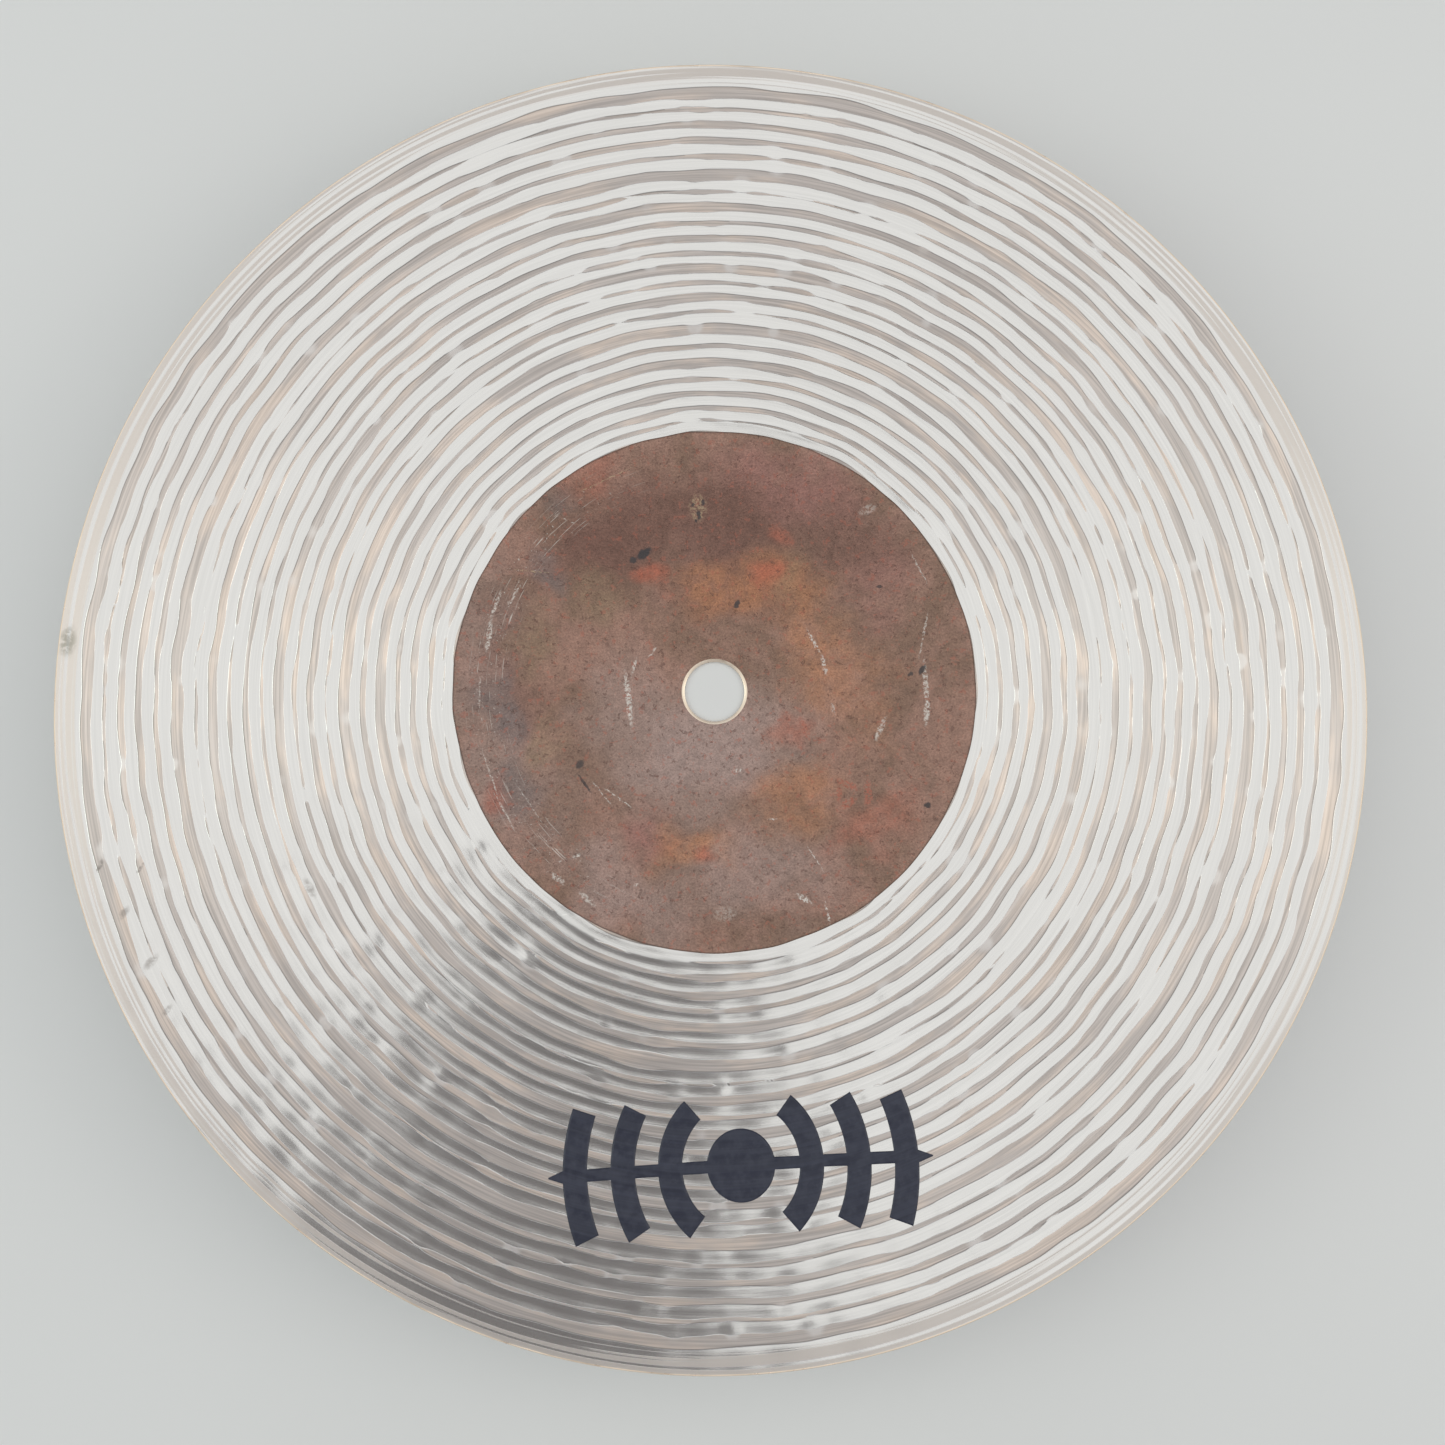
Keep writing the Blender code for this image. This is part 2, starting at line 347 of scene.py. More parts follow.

# Patches of the raw bell, in millimetres: oxide, but the mauve patches over the lower half
# are partly painted sheen, and the dark ones over the upper half partly painted reflection:
# (tone, x, y, half length, half width, degrees, strength).
PATCHES = (
    ("mauve", -2, -12, 24, 15, 20, 0.9),
    ("mauve", -20, -2, 13, 10, 60, 0.5),
    ("mauve", 8, -37, 20, 11, 0, 0.6),
    ("mauve", -22, -38, 12, 9, -40, 0.6),
    ("mauve", -46, 4, 9, 26, 0, 0.45),
    ("mauve", -40, -20, 12, 15, 20, 0.5),
    ("mauve", -14, -46, 13, 7, -10, 0.5),
    ("dark", -22, 30, 18, 12, 40, 0.85),
    ("dark", 3, 36, 20, 12, 0, 0.85),
    ("dark", 5, 23, 20, 9, 0, 0.6),
    ("dark", 28, 32, 15, 10, -40, 0.65),
    ("dark", -41, 4, 7, 18, 0, 0.55),
    ("umber", 38, 2, 10, 26, 0, 0.2),
    ("umber", -30, -22, 12, 12, 0, 0.45),
    ("umber", 2, 12, 18, 6, 0, 0.4),
    ("pink", 16, 43, 18, 7, -15, 0.6),
    ("pink", 34, 20, 8, 10, 0, 0.4),
    ("pink", -13, -30, 6, 5, 0, 0.7),
    ("rust", 8, 22, 19, 7, 0, 0.65),
    ("rust", 22, 8, 7, 16, 10, 0.55),
    ("rust", 18, -22, 12, 8, 20, 0.5),
    ("rust", -5, -33, 10, 5, 10, 0.65),
    ("rust", 33, -2, 7, 14, 0, 0.25),
    ("red", -13.5, 23.8, 3.6, 3.4, 0, 0.8),
    ("red", 10, 23.5, 4.5, 2.6, 0, 0.75),
    ("red", 14, 33, 3, 4, 0, 0.5),
    ("red", 32, -28, 11, 5, 30, 0.4),
    ("red", -3, -36, 3.5, 2, 0, 0.7),
    ("red", 17, -8, 3, 4, 0, 0.5),
    ("red", -26, 44, 9, 4, 35, 0.35),
    ("red", -44, -22, 2.5, 3.5, 20, 0.5),
    ("olive", 15, 24, 5, 6, 0, 0.4),
    ("olive", -38, 9, 6, 9, 0, 0.6),
    ("olive", -26, 20, 9, 6, 0, 0.6),
    ("olive", -35, -11, 5, 7, 0, 0.6),
    ("slate", -44, -5, 4, 8, 0, 0.75),
    ("slate", -40, -22, 5, 9, 30, 0.6),
    ("slate", -35, 24, 3, 6, 30, 0.6),
    ("slate", -33, 39, 5, 4, 40, 0.5),
)

TONE_NAMES = sorted({patch[0] for patch in PATCHES})


def patch_share(tone, x, y):
    """How much of a tone covers each point of the bell."""
    bare = np.ones_like(x)
    for name, middle_x, middle_y, half_length, half_width, degrees, strength in PATCHES:
        if name == tone:
            turn = math.radians(degrees)
            right = x - middle_x * MM
            up = y - middle_y * MM
            along = (right * math.cos(turn) + up * math.sin(turn)) / (half_length * MM)
            across = (up * math.cos(turn) - right * math.sin(turn)) / (half_width * MM)
            inside = np.clip((PATCH_END - np.hypot(along, across)) / PATCH_FADE, 0, 1)
            bare *= 1 - strength * inside * inside * (3 - 2 * inside)
    return 1 - bare


def bell_tones(x, y):
    """The shares of every tone of the bell, with patch outlines that wander."""
    shifted_x = x + rolling(x, y, PATCH_SEED, *PATCH_WANDER)
    shifted_y = y + rolling(x, y, PATCH_SEED + 1, *PATCH_WANDER)
    return {name: patch_share(name, shifted_x, shifted_y) for name in TONE_NAMES}


# ---- The cymbal's mesh -----------------------------------------------------------
BELL, BOW, STRUCK, EDGE = range(4)

# Values stored on the mesh for the materials: the depth of the cut through the skin, the
# place in the cut, how strong the painted highlight on a hammer mark is, the distance in
# from the raw bell's edge, and the shares of the bell's tones: oxide, partly with painted
# sheen and painted reflection.
FIELD_NAMES = ["cut", "lean", "glow", "raw"] + TONE_NAMES


class Turned:
    """A closed mesh made ring by ring, from the hole up over the hollow side and back underneath."""

    def __init__(self):
        self.points = []
        self.fields = {name: [] for name in FIELD_NAMES}
        self.faces = []
        self.looks = []
        self.rings = []
        self.count = 0

    def add(self, radius, height, steps, look, fields=None):
        """Adds a ring and joins it to the last one. The look is a material's number."""
        self.points.append(ring_points(radius, height, steps))
        for name, values in self.fields.items():
            given = (fields or {}).get(name, 0.0)
            values.append(np.broadcast_to(given, (steps,)))
        if self.rings:
            self.join(self.rings[-1], (self.count, steps), look)
        self.rings.append((self.count, steps))
        self.count += steps

    def join(self, one, other, look):
        """Faces between two rings."""
        made = join_rings(*one, *other)
        self.faces.extend(made)
        self.looks.extend([look] * len(made))

    def close(self, look):
        """Joins the last ring to the first."""
        self.join(self.rings[-1], self.rings[0], look)

    def to_object(self, name, materials):
        """The finished mesh object, smooth but for its sharp edges."""
        mesh = bpy.data.meshes.new(name)
        mesh.from_pydata(np.concatenate(self.points).tolist(), [], self.faces)
        for material in materials:
            mesh.materials.append(material)
        mesh.polygons.foreach_set("material_index", self.looks)
        mesh.shade_smooth()
        mesh.set_sharp_from_angle(angle=SHARP_ANGLE)
        for field, values in self.fields.items():
            layer = mesh.attributes.new(field, "FLOAT", "POINT")
            layer.data.foreach_set("value", np.concatenate(values).astype(np.float32))
        mesh.update()
        made = bpy.data.objects.new(name, mesh)
        bpy.context.scene.collection.objects.link(made)
        return made


def add_bell_inside(turned):
    """The raw bell's hollow side, from the hole out to where the lathe began."""
    radii = grid_radii(HOLE_RADIUS + CHAMFER_WIDTH, BELL_RADIUS - BELL_GRID_MARGIN, BELL_RING_STEP)
    bearings = np.arange(BELL_TURN_STEPS) * TURN / BELL_TURN_STEPS
    for radius in radii:
        x = radius * np.cos(bearings)
        y = radius * np.sin(bearings)
        fade = min(1.0, (radius - radii[0]) / BELL_FADE) * min(1.0, (radii[-1] - radius) / BELL_FADE)
        relief = fade * rolling(x, y, BELL_SEED, *BELL_ROLLING)
        fields = {"raw": RAW_OFFSET + BELL_RADIUS - radius, **bell_tones(x, y)}
        turned.add(radius, hollow_height(radius) + relief, BELL_TURN_STEPS, BELL, fields)


def add_bow_inside(turned, radii, field):
    """The hammered and grooved hollow side of the bow. Its first rings follow the bell's edge."""
    bearings = np.arange(BOW_TURN_STEPS) * TURN / BOW_TURN_STEPS
    waver = rolling(np.cos(bearings), np.sin(bearings), EDGE_SEED, *EDGE_WAVER)
    edge = BELL_RADIUS + waver
    tones = bell_tones(BELL_RADIUS * np.cos(bearings), BELL_RADIUS * np.sin(bearings))
    for inward in BELL_EDGE_RINGS:
        fields = {"raw": inward, **tones}
        turned.add(edge - inward, hollow_height(edge - inward), BOW_TURN_STEPS, BELL, fields)
    for row, radius in enumerate(radii):
        fields = {name: grid[row] for name, grid in field.items() if name in FIELD_NAMES}
        around = radius + waver * max(0.0, 1 - row / EDGE_WAVER_ROWS)
        height = hollow_height(around) + field["relief"][row]
        turned.add(around, height, BOW_TURN_STEPS, BOW, fields)


def add_rim(turned):
    """The half-round rim."""
    half = RIM_WALL / 2
    slope = float(slope_at(SKIN_RADIUS))
    middle_r = SKIN_RADIUS - half * math.sin(slope)
    middle_z = float(struck_height(SKIN_RADIUS)) + half * math.cos(slope)
    for step in range(1, RIM_STEPS):
        turn = slope + math.pi / 2 - math.pi * step / RIM_STEPS
        radius = middle_r + half * math.cos(turn)
        turned.add(radius, middle_z + half * math.sin(turn), BOW_TURN_STEPS, EDGE)


def struck_relief(radii, steps):
    """The playing side: lathed all over, with the hammer marks showing through."""
    bearings = np.arange(steps) * TURN / steps
    x = radii[:, None] * np.cos(bearings)[None, :]
    y = radii[:, None] * np.sin(bearings)[None, :]
    skin = rolling(x, y, STRUCK_SEED, *SKIN_ROLLING)
    for dent in bow_dents(STRUCK_SEED + 1):
        press(skin, radii, steps, dent, -dent[3])
    swing = STRUCK_SWING * np.sin(radii * TURN / STRUCK_SWING_PITCH)
    wave = np.cos(radii * TURN / STRUCK_PITCH + swing)
    floor = STRUCK_DEPTH + STRUCK_WAVE * wave[:, None]
    floor = floor + rolling(x, y, STRUCK_SEED + 2, *FLOOR_ROLLING)
    cut = floor - skin
    fade = np.clip((radii - SEAT_RADIUS) / STRUCK_FADE, 0, 1)[:, None]
    return fade * np.maximum(skin, floor), cut


def add_playing_side(turned):
    """The playing side, from the rim back to the seat."""
    radii = grid_radii(SEAT_RADIUS, SKIN_RADIUS, STRUCK_RING_STEP)
    relief, cut = struck_relief(radii, BELL_TURN_STEPS)
    top = len(radii) - 1
    turned.add(radii[top], float(struck_height(radii[top])), BOW_TURN_STEPS, EDGE)
    for row in range(top - 1, -1, -1):
        height = struck_height(radii[row]) + relief[row]
        turned.add(radii[row], height, BELL_TURN_STEPS, STRUCK, {"cut": cut[row]})


def add_hole(turned):
    """The underside chamfer and the bore."""
    turned.add(HOLE_RADIUS + CHAMFER_WIDTH, 0.0, BELL_TURN_STEPS, STRUCK)
    turned.add(HOLE_RADIUS, CHAMFER_DEPTH, BELL_TURN_STEPS, EDGE)
    turned.add(HOLE_RADIUS, BELL_WALL - CHAMFER_DEPTH, BELL_TURN_STEPS, EDGE)


def make_cymbal(materials, radii, field):
    """The whole cymbal as one closed body."""
    turned = Turned()
    add_bell_inside(turned)
    add_bow_inside(turned, radii, field)
    add_rim(turned)
    add_playing_side(turned)
    add_hole(turned)
    turned.close(EDGE)
    return turned.to_object("cymbal_bronze", materials)


# ---- The printed emblem ----------------------------------------------------------
EMBLEM_CENTRE_RADIUS = 0.092
EMBLEM_BEARING = math.radians(-87.0)
EMBLEM_HALF_HEIGHT = 0.012
EMBLEM_DISC_RADIUS = 0.0065
EMBLEM_ARC_RADII = (0.0135, 0.0225, 0.0315)
EMBLEM_STROKE = 0.0046
EMBLEM_SPINE = 0.0022
EMBLEM_TIP = 0.0365
INK_BASE = 0.000025
INK_TOP = 0.000060
INK_STEP = 0.0005
INK_MERGE = 0.000005
INK_SLIVER = 0.000001
SPINE_TIP_SHARE = 0.1


def emblem_frame():
    """The emblem's own axes: X along the bow, Y towards the bell, on the emblem's middle."""
    bearing = Matrix.Rotation(EMBLEM_BEARING, 4, "Z")
    outward = Matrix.Translation(Vector((EMBLEM_CENTRE_RADIUS, 0.0, 0.0)))
    upright = Matrix.Rotation(math.pi / 2, 4, "Z")
    return bearing @ outward @ upright


def evenly(low, high, step):
    """Values from low to high, no farther apart than the step."""
    count = max(1, math.ceil((high - low) / step))
    return [part_of(low, high, i / count) for i in range(count + 1)]


def stroke_angles(radius, reach, beyond):
    """Angles along a stroke: a few across the spine, and as many beyond it on each side as told."""
    spine = math.asin(EMBLEM_SPINE / 2 / radius)
    across = [math.asin(y / radius) for y in evenly(-EMBLEM_SPINE / 2, EMBLEM_SPINE / 2, INK_STEP)]
    outside = [part_of(spine, reach, step / beyond) for step in range(1, beyond + 1)]
    return [-angle for angle in reversed(outside)] + across + outside


def arc_patch(inner, outer, side):
    """Rows of points over one arc of the emblem."""
    reach = math.asin(EMBLEM_HALF_HEIGHT / outer)
    beyond = math.ceil(EMBLEM_HALF_HEIGHT / INK_STEP)
    rows = []
    for radius in evenly(inner, outer, INK_STEP):
        angles = stroke_angles(radius, reach, beyond)
        rows.append([(side * radius * math.cos(a), radius * math.sin(a)) for a in angles])
    return rows


def spine_patch(leave, meet, side):
    """Rows of points over the spine between two circles, or out to its tip."""
    rows = []
    for share in evenly(0.0, 1.0, INK_STEP / abs(EMBLEM_TIP - EMBLEM_ARC_RADII[-1])):
        row = []
        for y in evenly(-EMBLEM_SPINE / 2, EMBLEM_SPINE / 2, INK_STEP):
            start = (math.sqrt(leave**2 - y**2), y)
            end = (math.sqrt(meet**2 - y**2), y) if meet else (EMBLEM_TIP, y * SPINE_TIP_SHARE)
            point = (part_of(start[0], end[0], share), part_of(start[1], end[1], share))
            row.append((side * point[0], point[1]))
        rows.append(row)
    return rows


def disc_patch():
    """Rows of points over the emblem's middle disc, from its centre out."""
    right = stroke_angles(EMBLEM_DISC_RADIUS, math.pi / 2, math.ceil(EMBLEM_DISC_RADIUS / INK_STEP))
    left = [math.pi - angle for angle in reversed(right[1:-1])]
    angles = right + left + right[:1]
    rows = []
    for radius in evenly(0.0, EMBLEM_DISC_RADIUS, INK_STEP):
        rows.append([(radius * math.cos(a), radius * math.sin(a)) for a in angles])
    return rows


def emblem_patches():
    """Every patch of the emblem."""
    half = EMBLEM_STROKE / 2
    leaves = [EMBLEM_DISC_RADIUS] + [middle + half for middle in EMBLEM_ARC_RADII]
    meets = [middle - half for middle in EMBLEM_ARC_RADII] + [None]
    patches = [disc_patch()]
    for side in (-1, 1):
        for middle in EMBLEM_ARC_RADII:
            patches.append(arc_patch(middle - half, middle + half, side))
        for leave, meet in zip(leaves, meets):
            patches.append(spine_patch(leave, meet, side))
    return patches


def grid_value(grid, radii, steps, point):
    """A value of the bow's grid at a point, read between its four neighbours."""
    across = (math.hypot(point.x, point.y) - radii[0]) / (radii[1] - radii[0])
    round_about = (math.atan2(point.y, point.x) % TURN) / TURN * steps
    row = min(max(int(across), 0), len(radii) - 2)
    column = int(round_about)
    values = grid[row : row + 2][:, [column % steps, (column + 1) % steps]]
    near, far = part_of(values[:, 0], values[:, 1], round_about - column)
    return float(part_of(near, far, across - row))


def make_print(material, radii, field):
    """The ink film, laid on the grooves of the bow."""
    axes = emblem_frame()
    sheet = bmesh.new()
    cut_layer = sheet.verts.layers.float.new("cut")
    for rows in emblem_patches():
        corners = [[sheet.verts.new((x, y, 0.0)) for x, y in row] for row in rows]
        for near, far in zip(corners, corners[1:]):
            for i in range(len(near) - 1):
                sheet.faces.new((near[i], near[i + 1], far[i + 1], far[i]))
    bmesh.ops.remove_doubles(sheet, verts=sheet.verts, dist=INK_MERGE)
    bmesh.ops.dissolve_degenerate(sheet, edges=sheet.edges, dist=INK_SLIVER)
    for vertex in sheet.verts:
        point = axes @ vertex.co
        relief = grid_value(field["relief"], radii, BOW_TURN_STEPS, point)
        point.z = float(hollow_height(math.hypot(point.x, point.y))) + relief + INK_TOP
        vertex[cut_layer] = grid_value(field["cut"], radii, BOW_TURN_STEPS, point)
        vertex.co = point
    for face in sheet.faces:
        face.smooth = True
    bmesh.ops.recalc_face_normals(sheet, faces=sheet.faces)
    if sum(face.normal.z for face in sheet.faces) < 0:
        bmesh.ops.reverse_faces(sheet, faces=sheet.faces)
    mesh = bpy.data.meshes.new("emblem_ink")
    sheet.to_mesh(mesh)
    sheet.free()
    mesh.materials.append(material)
    made = bpy.data.objects.new("emblem_ink", mesh)
    bpy.context.scene.collection.objects.link(made)
    film = made.modifiers.new("film", "SOLIDIFY")
    film.thickness = INK_TOP - INK_BASE
    film.offset = -1.0
    return made


# ---- Materials -------------------------------------------------------------------
class Graph:
    """A material's nodes, with short ways to add and link them."""

    def __init__(self, name):
        self.material = bpy.data.materials.new(name)
        self.material.use_nodes = True
        self.tree = self.material.node_tree
        self.shader = self.tree.nodes["Principled BSDF"]

    def feed(self, socket, value):
        """Links a socket to the input, or sets it to a plain value."""
        if isinstance(value, bpy.types.NodeSocket):
            self.tree.links.new(value, socket)
        else:
            socket.default_value = value

    def node(self, kind, *values, **settings):
        """Adds a node, and fills its inputs in order."""
        made = self.tree.nodes.new(kind)
        for name, value in settings.items():
            setattr(made, name, value)
        for socket, value in zip(made.inputs, values):
            self.feed(socket, value)
        return made

    def set(self, **values):
        """Fills inputs of the Principled node, with _ for a space in a name."""
        for name, value in values.items():
            self.feed(self.shader.inputs[name.replace("_", " ")], value)

    def math(self, operation, *values):
        """One number worked out from others."""
        return self.node("ShaderNodeMath", *values, operation=operation).outputs[0]

    def vector(self, operation, *values):
        """One vector worked out from others."""
        return self.node("ShaderNodeVectorMath", *values, operation=operation).outputs[0]

    def scaled(self, vector, amount):
        """A vector or colour times a number."""
        made = self.node("ShaderNodeVectorMath", vector, operation="SCALE")
        self.feed(made.inputs["Scale"], amount)
        return made.outputs[0]

    def length(self, vector):
        """The length of a vector."""
        return self.node("ShaderNodeVectorMath", vector, operation="LENGTH").outputs["Value"]

    def step(self, value, low, high, from_low=0.0, to_high=1.0):
        """A smooth step from one level to another as the value goes from low to high."""
        inputs = (value, low, high, from_low, to_high)
        return self.node("ShaderNodeMapRange", *inputs, interpolation_type="SMOOTHSTEP").outputs[0]

    def noise(self, where, scale, detail=3.0, roughness=0.5, distortion=0.0):
        """Soft random values from 0 to 1, in three dimensions."""
        made = self.node("ShaderNodeTexNoise")
        named = {"Vector": where, "Scale": scale, "Detail": detail}
        named.update({"Roughness": roughness, "Distortion": distortion})
        for name, value in named.items():
            self.feed(made.inputs[name], value)
        return made.outputs[0]

    def mix(self, share, one, other):
        """A colour between two colours."""
        made = self.node("ShaderNodeMix", data_type="RGBA")
        self.feed(made.inputs[0], share)
        self.feed(made.inputs[6], one)
        self.feed(made.inputs[7], other)
        return made.outputs[2]

    def between(self, share, one, other):
        """A number between two numbers."""
        made = self.node("ShaderNodeMix", data_type="FLOAT")
        self.feed(made.inputs[0], share)
        self.feed(made.inputs[2], one)
        self.feed(made.inputs[3], other)
        return made.outputs[0]

    def field(self, name):
        """A value stored on the mesh."""
        return self.node("ShaderNodeAttribute", attribute_name=name).outputs["Fac"]

    def bump(self, height, depth, normal=None):
        """A normal bent by a height from 0 to 1 that stands for a depth in metres."""
        made = self.node("ShaderNodeBump")
        made.inputs["Strength"].default_value = 1.0
        made.inputs["Distance"].default_value = depth
        self.feed(made.inputs["Height"], height)
        if normal is not None:
            self.feed(made.inputs["Normal"], normal)
        return made.outputs[0]


class Round:
    """Polar coordinates of a graph: place, flat place, radius and the unit vector from the axis."""

    def __init__(self, graph):
        self.graph = graph
        self.place = graph.node("ShaderNodeTexCoord").outputs["Object"]
        self.flat = graph.vector("MULTIPLY", self.place, (1.0, 1.0, 0.0))
        self.radius = graph.length(self.flat)
        self.outward = graph.vector("NORMALIZE", self.flat)

    def streaks(self, per_turn, per_metre, detail, roughness, shift=0.0):
        """Random values drawn out along the turning lines, without a seam."""
        graph = self.graph
        round_about = graph.scaled(self.outward, per_turn)
        height = graph.math("MULTIPLY_ADD", self.radius, per_metre, shift)
        lift = graph.node("ShaderNodeCombineXYZ", 0.0, 0.0, height).outputs[0]
        where = graph.vector("ADD", round_about, lift)
        return graph.noise(where, 1.0, detail, roughness)


# ---- Colours of the bronze and the ink -------------------------------------------
BRIGHT = (0.79, 0.775, 0.755, 1.0)
SKIN_GREY = (0.695, 0.63, 0.59, 1.0)
SKIN_PEACH = (0.86, 0.74, 0.655, 1.0)
SKIN_PALE = (0.76, 0.70, 0.65, 1.0)
# SKIN_HIGHLIGHT: skin colour of the painted highlight on hammer marks.
SKIN_HIGHLIGHT = (0.86, 0.815, 0.785, 1.0)
# Colour of the painted highlight along the cuts' lips and in two bow marks.
LIP_HIGHLIGHT = (0.87, 0.86, 0.84, 1.0)
SAWN_DARK = (0.86, 0.68, 0.52, 1.0)
SAWN_LIGHT = (0.93, 0.83, 0.70, 1.0)
SMUDGE = (0.20, 0.19, 0.13, 1.0)
GRIME = (0.30, 0.27, 0.25, 1.0)
INK = (0.016, 0.019, 0.040, 1.0)
INK_WORN = (0.034, 0.038, 0.062, 1.0)

# ---- Gloss and fine relief -------------------------------------------------------
ANISOTROPY = 0.85
CUT_ROUGHNESS = 0.18
SKIN_ROUGHNESS = 0.46
RING_GLOSS = 0.15
STRUCK_CUT_ROUGHNESS = 0.28
STRUCK_SKIN_ROUGHNESS = 0.42
BELL_METALLIC = 0.35
WALL_BUMP = 0.000032
RING_BUMP = 0.000020
FINE_BUMP = 0.000014
STRUCK_BUMP = 0.000012
INK_BUMP = 0.000010
BELL_BUMP = 0.00022

# Depths of cut, in metres, between which the tool begins to bite, a groove's wall
# falls, painted shade darkens the skin beside a cut, a painted highlight brightens a
# cut at its lip, and ink wears.
TOOLED = (-0.000001, 0.000004)
WALL = (-0.000004, 0.000014)
SKIN_EDGE = (-0.000040, -0.000006)
CUT_LIP_HIGHLIGHT = (0.000022, 0.000002)
INK_WEAR = (0.000020, -0.000010)

# Turning lines: (waves per turn, per metre, detail, roughness, shift).
FINE_LINES = (3.0, 2600.0, 3.0, 0.6)
TINT_LINES = (5.0, 260.0, 3.0, 0.6, 7.0)
RING_LINES = (1.2, 1500.0, 1.0, 0.5, 3.0)
SCRATCH_LINES = (5.0, 3000.0, 2.0, 0.6, 5.0)
MARGIN_START = 0.1232
MARGIN_BLEND = 0.0003
# Width and strength of the painted shade along the raw bell's edge.
OUTLINE_WIDTH = 0.00045
OUTLINE_SHADE = 0.40

# Where an oval mark fades out, and where it is full: on the bow, and on the bell.
SPOT_END = 1.15
SOFT_SPOT = 0.35
CRISP_SPOT = 0.6

# Small marks on the bow, in millimetres, the last two being thin lines of painted highlight:
# (colour, x, y, half length, half width, degrees, strength).
BOW_MARKS = (
    (SMUDGE, -125.0, 7.6, 3.4, 1.7, 86, 0.55),
    (GRIME, -116.8, -35.2, 1.5, 0.45, 70, 0.9),
    (GRIME, -109.8, -35.7, 1.3, 0.35, 60, 0.9),
    (GRIME, -78.9, -39.8, 2.4, 0.9, -60, 0.6),
    (GRIME, -112.0, -44.0, 1.6, 0.8, 60, 0.6),
    (GRIME, -106.5, -53.0, 2.0, 0.9, 55, 0.6),
    (GRIME, -103.0, -62.0, 1.5, 0.6, 55, 0.5),
    (LIP_HIGHLIGHT, -31.1, -45.8, 3.6, 0.14, 16, 0.9),
    (LIP_HIGHLIGHT, -39.0, -43.8, 3.2, 0.12, -14, 0.8),
)


def bow_colour(g, polar, tooled, rings):
    """Silver-bright cuts and warm dull skin with fine turning lines, painted shade beside the cuts, and
    painted highlights at their lips and on hammer marks.
    """
    cut = g.field("cut")
    lean = g.field("lean")
    glow = g.field("glow")
    fine = polar.streaks(*FINE_LINES)
    tint = polar.streaks(*TINT_LINES)
    skin = g.mix(g.step(tint, 0.42, 0.68), SKIN_GREY, SKIN_PEACH)
    skin = g.scaled(skin, g.step(fine, 0.28, 0.72, 0.78, 1.14))
    # Painted shade: a dark line on the skin along the outer edge of each dull band, where a cut begins.
    near_edge = g.step(cut, *SKIN_EDGE)
    outer_side = g.step(lean, -1.0, -0.9, 1.0, 0.0)
    skin = g.scaled(skin, g.between(g.math("MULTIPLY", near_edge, outer_side), 1.0, 0.52))
    # Painted highlight: the skin turns lighter on hammer marks, most on raised bumps, broken up by
    # noise.
    highlight_breakup = g.noise(polar.place, 300.0, 2.0)
    mark_highlight = g.math("MULTIPLY", g.step(glow, 0.10, 0.75), g.step(highlight_breakup, 0.3, 0.6, 0.6, 1.0))
    skin = g.mix(g.math("MULTIPLY", mark_highlight, 0.85), skin, SKIN_HIGHLIGHT)
    # Painted highlight: a thin bright line just inside each cut's outer edge.
    lip_highlight = g.math("MULTIPLY", g.step(cut, *CUT_LIP_HIGHLIGHT), g.step(lean, 0.6, 0.9))
    bright = g.scaled(BRIGHT[:3], g.step(fine, 0.25, 0.75, 0.94, 1.02))
    bright = g.mix(rings, bright, SKIN_PALE)
    bright = g.mix(g.math("MULTIPLY", lip_highlight, 0.6), bright, LIP_HIGHLIGHT)
    colour = g.mix(tooled, skin, bright)
    close = wandered(g, polar.flat, 900.0, 0.0009)
    torn = g.step(g.noise(polar.flat, 900.0, 3.0, 0.7), 0.36, 0.56, 0.25, 1.0)
    for tone, *oval, strength in BOW_MARKS:
        share = g.step(spot(g, close, *oval), SPOT_END, SOFT_SPOT, 0.0, strength)
        colour = g.mix(g.math("MULTIPLY", share, torn), colour, tone)
    return colour, fine


def turned_gloss(g):
    """Gloss drawn out across the turning lines, as on any turned disc."""
    g.set(Metallic=1.0, Anisotropic=ANISOTROPY, Anisotropic_Rotation=0.25)
    g.set(Tangent=g.node("ShaderNodeTangent", direction_type="RADIAL", axis="Z").outputs[0])


def bow_material():
    """The hollow side of the bow: bright cuts and dull hammered skin."""
    g = Graph("bronze_lathed_bow")
    polar = Round(g)
    tooled = g.step(g.field("cut"), *TOOLED)
    margin = g.step(polar.radius, MARGIN_START, MARGIN_START + MARGIN_BLEND)
    rings = g.math("MULTIPLY", margin, g.step(polar.streaks(*RING_LINES), 0.40, 0.54))
    colour, fine = bow_colour(g, polar, tooled, rings)
    glossy = g.math("MULTIPLY", tooled, g.step(rings, 0.0, 1.0, 1.0, RING_GLOSS))
    g.set(Base_Color=colour)
    g.set(Roughness=g.between(glossy, SKIN_ROUGHNESS, CUT_ROUGHNESS))
    turned_gloss(g)
    walls = g.bump(g.step(g.field("cut"), *WALL, 1.0, 0.0), WALL_BUMP)
    lines = g.bump(rings, RING_BUMP, walls)
    g.set(Normal=g.bump(fine, FINE_BUMP, lines))
    return g.material


